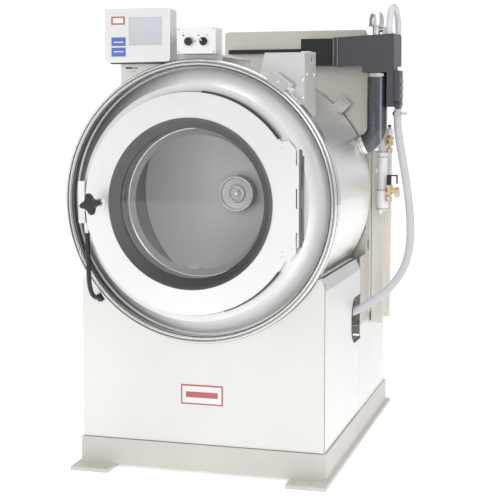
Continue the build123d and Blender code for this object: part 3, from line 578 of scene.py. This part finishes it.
def bead_piece(name, look, body, beads, turns=96, sides=12):
    """Rolled wire rings round the drum's axis: each a radius, a tube radius and a depth."""
    bm = bmesh.new()
    for radius, tube, depth in beads:
        place = frame_at(0, depth, AXIS, FORWARD)
        rings = []
        for k in range(sides):
            a = math.tau * k / sides
            rings.append(add_circle(bm, radius + tube * math.cos(a), tube * math.sin(a), place, turns))
        for low, high in zip(rings, rings[1:] + rings[:1]):
            join_rings(bm, low, high)
    return piece_from(bm, name, look, body, 60)


def arc_band(name, look, radii, depths, angles, steps=120):
    """A band on the door, bent round the drum's axis; angles count from the right side upward."""
    inner, outer = radii
    front, back = depths
    bm = bmesh.new()
    rings = []
    for k in range(steps + 1):
        a = math.radians(angles[0] + (angles[1] - angles[0]) * k / steps)
        ring = []
        for r, d in ((inner, front), (outer, front), (outer, back), (inner, back)):
            ring.append(bm.verts.new(at(r * math.cos(a), d, AXIS + r * math.sin(a))))
        rings.append(ring)
    for low, high in zip(rings, rings[1:]):
        join_rings(bm, low, high)
    bm.faces.new(rings[0])
    bm.faces.new(rings[-1])
    return piece_from(bm, name, look, "door")


def chamfered(radius, height, step=1.0, rise=1.5, fall=1.5):
    """The profile of a solid disc with both of its edges broken."""
    wall = [(radius - step, 0), (radius, rise), (radius, height - fall), (radius - step, height)]
    return [(0, 0)] + wall + [(0, height)]


def plate(xs, zs, face, rise, sink=0.1):
    """The corners of a thin plate that stands proud of a sheet and sinks a little into it."""
    return (xs[0], face - rise, zs[0]), (xs[1], face + sink, zs[1])


def make_door_details():
    """Screws beside the hinge, wire rings round the opening with dark rings of painted shade between them,
    and black and dark bands round the door's edge that are painted shadow.
    """
    pan_head = [(0, 0), (3.0, 0), (3.0, 0.7), (2.4, 1.5), (1.0, 1.8), (0.9, 1.2), (0, 1.2)]
    heads = [(pan_head, frame_at(297, DOOR_FACE, z, FORWARD)) for z in (1075, 1060, 745, 730)]
    lathe_piece("door_screws", "fitting", "door", heads, 20)
    bead_piece("mouth_bead", "ring", "machine", [(236, 3.2, -12)])
    bead_piece("ring_beads", "ring", "machine", [(446.5, 3.2, -24.5), (436.5, 3.0, -24.5)])
    # Painted shade: dark steel rings in the grooves between the ring's beads.
    groove_shadows = [(441.5, 1.1, -27), (451.4, 0.9, -17), (430, 1.6, -18.5)]
    bead_piece("ring_groove_shadows", "shade_steel", "machine", groove_shadows)
    # Painted shadow: a thin black band along the door's edge, and wider dark bands beside it at the upper
    # and lower right.
    shadow_band_radii, shadow_band_depths, contact_shadow_depths = (347.2, 348.6), (-97, -68), (-86, -67)
    arc_band("door_edge_shadow_high", "trim", shadow_band_radii, shadow_band_depths, (36, 168))
    arc_band("door_edge_shadow_low", "trim", shadow_band_radii, shadow_band_depths, (200, 324))
    arc_band("door_contact_shadow_high", "shade_steel", (347.2, 353.0), contact_shadow_depths, (36, 84))
    arc_band("door_contact_shadow_low", "shade_steel", (347.2, 352.0), contact_shadow_depths, (288, 324))


def star_radius(angle):
    """The star knob's outline: four soft lobes, turned a little."""
    waist, reach, lobes, tilt = 21, 13.5, 4, 0.2
    return waist + reach * (0.5 + 0.5 * math.cos(lobes * (angle - tilt))) ** 1.4


def make_star_knob():
    """The moulded star knob with its collar, and the washer on the door's boss."""
    profile = [(-168, 0.80), (-171, 0.95), (-176, 1.0), (-187, 1.0)]
    profile += [(-192, 0.95), (-195, 0.82), (-195.5, 0.45)]
    turns = 96
    knob = bmesh.new()
    rings = []
    for depth, share in profile:
        ring = []
        for k in range(turns):
            a = math.tau * k / turns
            radius = share * star_radius(a)
            spot = at(KNOB_X + radius * math.cos(a), depth, AXIS + radius * math.sin(a))
            ring.append(knob.verts.new(spot))
        rings.append(ring)
    for low, high in zip(rings, rings[1:]):
        join_rings(knob, low, high)
    knob.faces.new(rings[0])
    knob.faces.new(rings[-1])
    collar = [(6.3, 0), (12, 0), (12, 7), (9.5, 9), (6.3, 9)]
    add_lathe(knob, collar, frame_at(KNOB_X, -160, AXIS, FORWARD), 32)
    star = piece_from(knob, "star_knob_moulded", "black", "knob", 40)
    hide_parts("star_knob")
    washer = [(6.4, 0), (13, 0), (13, 1.6), (6.4, 1.6)]
    boss_face = DOOR_FACE - 10.2
    lathe_piece("knob_washer", "chrome", "knob", [(washer, frame_at(KNOB_X, boss_face, AXIS, FORWARD))], 32)


def make_hub_details():
    """The rims and dome nut of the drum's hub, in a brighter copy of its steel: painted highlight."""
    bead_piece("hub_rims", "hub_highlight", "drum", [(59, 2.4, 407), (27, 2.0, 409.5)])
    dome = [(0, 0), (15, 0), (15, 3), (12, 8), (7, 11.5), (0, 13)]
    lathe_piece("hub_dome", "hub_highlight", "drum", [(dome, frame_at(0, 414, AXIS, FORWARD))], 48, 60)


def make_control_plates():
    """Marks beside the switches, and plain plates where the labels were."""
    marks = [plate((-50, -43.5), (1409, 1413.5), CONTROL_FACE, 0.8)]
    marks += [plate((-47, -44.4), (1418.8, 1420.8), CONTROL_FACE, 0.8)]
    marks += [plate((0, 7.4), (1410.2, 1412.8), CONTROL_FACE, 0.8)]
    marks += [plate((30, 35), (1410, 1412), CONTROL_FACE, 0.8)]
    block_piece("switch_marks", "mark_grey", "machine", marks, 0.3)
    blue = [plate((-9.5, -5), (1391, 1394.5), CONTROL_FACE, 0.8)]
    blue += [plate((-290, -241), (1348, 1409), CONTROL_FACE, 0.6)]
    block_piece("blue_plates", "mark_blue", "machine", blue, 0.3)
    stripes = [plate((-290.4, -240.6), (1377, 1381), CONTROL_FACE, 0.9, 0)]
    stripes += [plate((-282, -249), (z, z + 3), CONTROL_FACE, 1.0, 0) for z in (1362, 1392)]
    stripes += [plate((-284, -249), (1454, 1470), CONTROL_FACE, 0.9, 0)]
    block_piece("plate_stripes", "white", "machine", stripes, 0.3)
    red = [plate((-290, -243), (1449, 1475), CONTROL_FACE, 0.6)]
    block_piece("red_plate", "mark_red", "machine", red, 0.3)
    label = [plate((-267, -246), (1311, 1317), STAND_FACE, 1)]
    label += [plate((-244, -225), (1312, 1315), STAND_FACE, 1)]
    block_piece("stand_label", "mark_grey", "machine", label, 0.3)
    block_piece("stand_plate", "white", "machine", [plate((-267, -236), (1297, 1306), STAND_FACE, 1)], 0.3)


def make_selector():
    """The selector, drawn turned 45 degrees: a disc with a grip across it, and its pointer."""
    turn = frame_at(20, CONTROL_FACE - 0.2, 1392, FORWARD) @ Matrix.Rotation(math.radians(45), 4, "Z")
    disc = [(0, 0.2), (13, 0.2), (13, 3.6), (11.8, 4.8), (0, 4.8)]
    knob = bmesh.new()
    add_lathe(knob, disc, turn, 48)
    grip_place, grip_size = turn @ Matrix.Translation((0, 0, 0.01025)), (0.0075, 0.024, 0.0115)
    add_box(knob, grip_place, grip_size, 1.0, 2, 0)
    selector = piece_from(knob, "selector_grip", "black", "selector")
    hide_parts("selector_knob")
    pointer = bmesh.new()
    pointer_place, pointer_size = turn @ Matrix.Translation((0, 0.0065, 0.0160)), (0.0028, 0.010, 0.0012)
    add_box(pointer, pointer_place, pointer_size, 0.3, 1, 0)
    piece_from(pointer, "selector_pointer", "white", "selector")


def make_badge():
    """A plain badge on the front sheet: a border, a field and a bar."""
    x, z = 4, 261.5
    layers = [("badge_border", "mark_red", 71, 32.5, (5.2, 6.4), 1.0)]
    layers += [("badge_field", "white", 66, 27.5, (4.6, 5.6), 0.8)]
    layers += [("badge_bar", "mark_red", 54, 9.5, (4.2, 5.0), 0.6)]
    for name, look, half_x, half_z, (front, back), edge in layers:
        block = (x - half_x, front, z - half_z), (x + half_x, back, z + half_z)
        block_piece(name, look, "machine", [block], edge)


def make_notch_details():
    """The pale wall seen in the hose opening, which glows a little as painted light, and the black trim
    round the opening's edge.
    """
    block_piece("notch_liner", "glowing_liner", "machine", [((349, 440, 364), (351, 589, 560))], 0.4)
    edge = BODY_HALF - 1
    bottom, top = 366, 520
    reach, rear = 438, 588
    radius, steps = 62, 12
    trim = [(edge, rear, top)]
    for start, centre in ((90, top - radius), (180, bottom + radius)):
        for k in range(steps + 1):
            a = math.radians(start + 90 * k / steps)
            trim.append((edge, reach + radius + radius * math.cos(a), centre + radius * math.sin(a)))
    trim.append((edge, rear, bottom))
    curve_piece("notch_trim", "trim", "machine", trim, 3.6, "POLY", 3)


def make_body_details():
    """Black strips of painted shadow in the gaps between sheets and in a slot, and the rivets of the
    lifting bracket.
    """
    under_front = ((-404, 4.9, 98.1), (404, 6.1, 99.3))
    under_side = ((409.1, 12, 98.1), (409.9, 585, 99.1))
    front_corner = ((407.2, 5.2, 100), (408.4, 6.2, 640))
    over_side = ((384, 41, 650), (395.5, 588, 651.4))
    # Painted shadow: black strips in the gaps under and beside the sheets.
    seam_shadows = [under_front, under_side, front_corner, over_side]
    block_piece("panel_seam_shadows", "trim", "machine", seam_shadows, 0.2)
    # Painted shadow: a black strip in the joint where the column meets the rear panel, and a black patch
    # over a slot's dark inside.
    joint = ((409.4, 789.6, 394), (412.6, 791.6, 1028))
    slot = ((408.9, 735, 664), (409.4, 751, 702))
    block_piece("column_seam_shadow", "trim", "machine", [joint, slot], 0.2)
    rivet = [(0, 0), (5.2, 0), (4.6, 1.8), (2.4, 2.9), (0, 3.1)]
    spots = [frame_at(330, depth, 1290, RIGHT) for depth in (86, 181)]
    spots += [frame_at(322, 50, z, FORWARD) for z in (1215, 1270)]
    lathe_piece("bracket_rivets", "fitting", "machine", [(rivet, spot) for spot in spots], 20)


def on_rim(angle, radius, depth, toward):
    """A place on the tub's rim; the angle is counted from the top toward the right."""
    a = math.radians(angle)
    return frame_at(radius * math.sin(a), depth, AXIS + radius * math.cos(a), toward)


def make_rim_details():
    """The rivet and draw bolt of the clamp, and the bolts of the two ties."""
    lug, tie = 35, 46
    rivet = [(0, 0), (4, 0), (3.4, 1.6), (1.6, 2.4), (0, 2.5)]
    washer = [(0, 0), (13, 0), (13, 2), (0, 2)]
    head = [(0, 2), (10.6, 2), (11, 2.6), (11, 8.4), (10, 9.4), (0, 9.4)]
    bm = bmesh.new()
    add_lathe(bm, rivet, on_rim(lug, 462, -33.1, FORWARD), 20)
    for angle in (-tie, tie):
        add_lathe(bm, washer, on_rim(angle, 460, 655.8, FORWARD), 32)
        add_lathe(bm, head, on_rim(angle, 460, 655.8, FORWARD), 6)
    bolts = piece_from(bm, "rim_fasteners", "fitting", "machine", 20)
    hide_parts("bracket_bolts")
    a = math.radians(lug)
    tangent = (math.cos(a), 0, -math.sin(a))
    draw = [(0, 0), (4, 0), (4, 12), (8, 12), (8, 20), (0, 20)]
    lathe_piece("clamp_draw_bolt", "chrome", "machine", [(draw, on_rim(39.3, 464, -22, tangent))], 16)


def make_latch_details():
    """The nut under the lock and the boot at the front sheet, on the latch's conduit."""
    nut = [(7.7, 0), (10.5, 0), (10.5, 9), (7.7, 10)]
    lathe_piece("conduit_nut", "chrome", "machine", [(nut, frame_at(-350, -84, 786, UP))], 6, 20)
    boot = [(7.6, 0), (13.5, 0), (14.5, 4), (13, 9), (10, 14), (9, 26), (7.6, 30)]
    place = frame_at(-344.6, 5.6, 564.2, (-0.03, -0.95, 0.18))
    lathe_piece("conduit_boot", "conduit", "machine", [(boot, place)], 32, 50)


def make_valve_details():
    """The brass valves' coil, cap, nuts and unions, and the lever's grip."""
    x, depth = VALVE_X, VALVE_DEPTH
    coil = [(chamfered(14, 23.5), frame_at(x, depth, UPPER_VALVE + 20, UP))]
    lathe_piece("valve_coil", "coil", "machine", coil, 40)
    cap = [(0, 0), (6.5, 0), (6.5, 5), (5, 7), (0, 7)]
    lathe_piece("valve_cap", "black", "machine", [(cap, frame_at(x, depth, UPPER_VALVE + 51, UP))], 24)
    hexes = [(chamfered(16.5, 12.5), frame_at(x, depth, UPPER_VALVE + 3, UP))]
    hexes += [(chamfered(15, 10.5), frame_at(x, depth, UPPER_VALVE - 18, UP))]
    hexes += [(chamfered(14.5, 9.5), frame_at(x, depth, LOWER_VALVE + 11, UP))]
    hexes += [(chamfered(14, 8, fall=1.0), frame_at(x, depth, LOWER_VALVE - 12, UP))]
    lathe_piece("valve_hexes", "brass", "machine", hexes, 6, 20)
    nut = [(chamfered(15, 10.5, 1.5), frame_at(x + 20, depth, LOWER_VALVE, RIGHT))]
    lathe_piece("inlet_nut", "brass", "machine", nut, 6, 20)
    union = [(0, 0), (10, 0), (11.5, 2), (11.5, 9), (8, 11), (8, 17), (0, 17)]
    ends = ((x, UPPER_VALVE - 28), (x + 30, LOWER_VALVE - 8), (x - 2, LOWER_VALVE - 22))
    unions = [(union, frame_at(across, depth, z, DOWN)) for across, z in ends]
    lathe_piece("valve_unions", "chrome", "machine", unions, 24)
    bar = [(chamfered(4.8, 35, 0.4, 1, 1), frame_at(x - 4, depth - 9, LOWER_VALVE + 22, UP))]
    lathe_piece("lever_grip", "trim", "lever", bar, 24)


def make_supply_details():
    """Rings at the pipe's couplings, the elbow's clamp screw, black strips of painted shade at the control
    box's left and bottom edges, and lighter strips of painted highlight on the injector's ridges.
    """
    rings = []
    for inner, outer, heights in ((16.9, 20.4, (1006, 1024)), (21.8, 23.6, (816, 884))):
        ring = [(inner, 0), (outer, 0.8), (outer, 3.4), (inner, 4.2)]
        rings += [(ring, frame_at(PIPE_X, PIPE_DEPTH, z, UP)) for z in heights]
    lathe_piece("pipe_rings", "pipe_edge", "machine", rings)
    screw = chamfered(4.6, 8, 0.6, 1, 1)
    screws = [(screw, frame_at(x, 598, 1302.5, RIGHT)) for x in (470, 478)]
    lathe_piece("clamp_screw", "fitting", "machine", screws, 16)
    # Painted shade: black strips at the control box's open left and bottom edges.
    box_left = ((-314, 44, 1329), (-309, 50, 1498))
    box_bottom = ((-312, 26, 1326.6), (-95, 50, 1330.4))
    block_piece("box_edge_shadow", "trim", "machine", [box_left, box_bottom], 0.6)
    # Painted highlight: lighter strips on the injector's two ridges.
    ridges = [((303.4, 595.2, 1338), (305.6, 596.6, 1434)), ((318.4, 595.2, 1338), (321, 596.6, 1435))]
    block_piece("injector_ridge_highlights", "ridge_highlight", "machine", ridges, 0.4)


# ---- stage ----------------------------------------------------------------
def make_camera():
    """The camera, a little to the machine's right and looking slightly down."""
    data = bpy.data.cameras.new("camera")
    data.lens = 86.09
    data.shift_y = -0.0882
    camera = bpy.data.objects.new("camera", data)
    camera.location = at(1195.3, -3603.0, 1165.3)
    pitch, heading = 90 - 4.4, 15.93
    camera.rotation_euler = (math.radians(pitch), 0, math.radians(heading))
    bpy.context.scene.collection.objects.link(camera)
    bpy.context.scene.camera = camera


def make_floor():
    """A pale floor, just under the base, that glows a little so that it shows as white."""
    half, z = 12, -0.0005
    mesh = bpy.data.meshes.new("floor")
    corners = [(-half, -half, z), (half, -half, z), (half, half, z), (-half, half, z)]
    mesh.from_pydata(corners, [], [(0, 1, 2, 3)])
    floor = bpy.data.objects.new("floor", mesh)
    bpy.context.scene.collection.objects.link(floor)
    pale = bpy.data.materials.new("floor_pale")
    pale.use_nodes = True
    shader = pale.node_tree.nodes["Principled BSDF"]
    shader.inputs["Base Color"].default_value = (0.93, 0.93, 0.93, 1)
    shader.inputs["Roughness"].default_value = 0.9
    shader.inputs["Specular IOR Level"].default_value = 0.1
    shader.inputs["Emission Color"].default_value = (1, 1, 1, 1)
    shader.inputs["Emission Strength"].default_value = 0.42
    mesh.materials.append(pale)


def softbox(name, place, aim, size, power):
    """A rectangular area light at a place, aimed at a point."""
    data = bpy.data.lights.new(name, "AREA")
    data.shape = "RECTANGLE"
    data.size, data.size_y = size
    data.energy = power
    lamp = bpy.data.objects.new(name, data)
    lamp.location = place
    lamp.rotation_euler = (Vector(aim) - Vector(place)).to_track_quat("-Z", "Y").to_euler()
    bpy.context.scene.collection.objects.link(lamp)


def make_lights():
    """Three softboxes round the machine, and a small one in the drum's mouth that lights its back."""
    centre = (0, 0, 0.8)
    softbox("key", (2.6, -3.6, 3.2), centre, (2.4, 2.4), 62)
    softbox("fill", (-3.4, -3.0, 1.8), centre, (2.0, 3.0), 24)
    softbox("top", (0, 0.4, 4.2), centre, (3.0, 3.0), 30)
    softbox("drum", at(-60, 40, 920), at(0, 460, 880), (0.30, 0.30), 0.55)


def grey_bands(tree, ray):
    """The surround's tone by height; a stop's height is 0 straight down and 1 straight up."""
    stops = [(0.30, 0.75), (0.49, 0.62), (0.53, 0.80), (0.75, 1.0), (1.0, 0.9)]
    split = tree.nodes.new("ShaderNodeSeparateXYZ")
    tree.links.new(ray, split.inputs["Vector"])
    ramp = tree.nodes.new("ShaderNodeValToRGB")
    points = ramp.color_ramp.elements
    while len(points) < len(stops):
        points.new(0.5)
    for point, (height, tone) in zip(points, stops):
        point.position = height
        point.color = (tone, tone, tone, 1)
    tree.links.new(map_range(tree, split.outputs["Z"], -1, 1, 0, 1), ramp.inputs["Fac"])
    return ramp.outputs["Color"]


def make_world():
    """A white surround in soft bands, dimmer in a patch to the left, that the camera sees as pure white."""
    world = bpy.data.worlds.new("studio")
    bpy.context.scene.world = world
    world.use_nodes = True
    tree = world.node_tree
    ray = tree.nodes.new("ShaderNodeTexCoord").outputs["Generated"]
    patch = vector_math(tree, "DOT_PRODUCT", ray, Vector((-1.0, -0.15, 0.35)).normalized())
    dim = map_range(tree, patch.outputs["Value"], 0.60, 0.95, 1.0, 0.30)
    shaded = multiply(tree, grey_bands(tree, ray), dim)
    seen = tree.nodes.new("ShaderNodeLightPath")
    mix = tree.nodes.new("ShaderNodeMix")
    mix.data_type = "RGBA"
    mix.inputs["B"].default_value = (1.35, 1.35, 1.35, 1)
    tree.links.new(seen.outputs["Is Camera Ray"], mix.inputs["Factor"])
    tree.links.new(shaded, mix.inputs["A"])
    background = tree.nodes["Background"]
    tree.links.new(mix.outputs["Result"], background.inputs["Color"])
    background.inputs["Strength"].default_value = 0.8
    bpy.context.scene.view_settings.view_transform = "Standard"


make_sheet_looks()
make_fitting_looks()
make_drum_looks()
make_paint_looks()
make_soft_looks()
dress_nodes()
make_cords()
make_door_details()
make_star_knob()
make_hub_details()
make_control_plates()
make_selector()
make_badge()
make_notch_details()
make_body_details()
make_rim_details()
make_latch_details()
make_valve_details()
make_supply_details()
make_camera()
make_floor()
make_lights()
make_world()
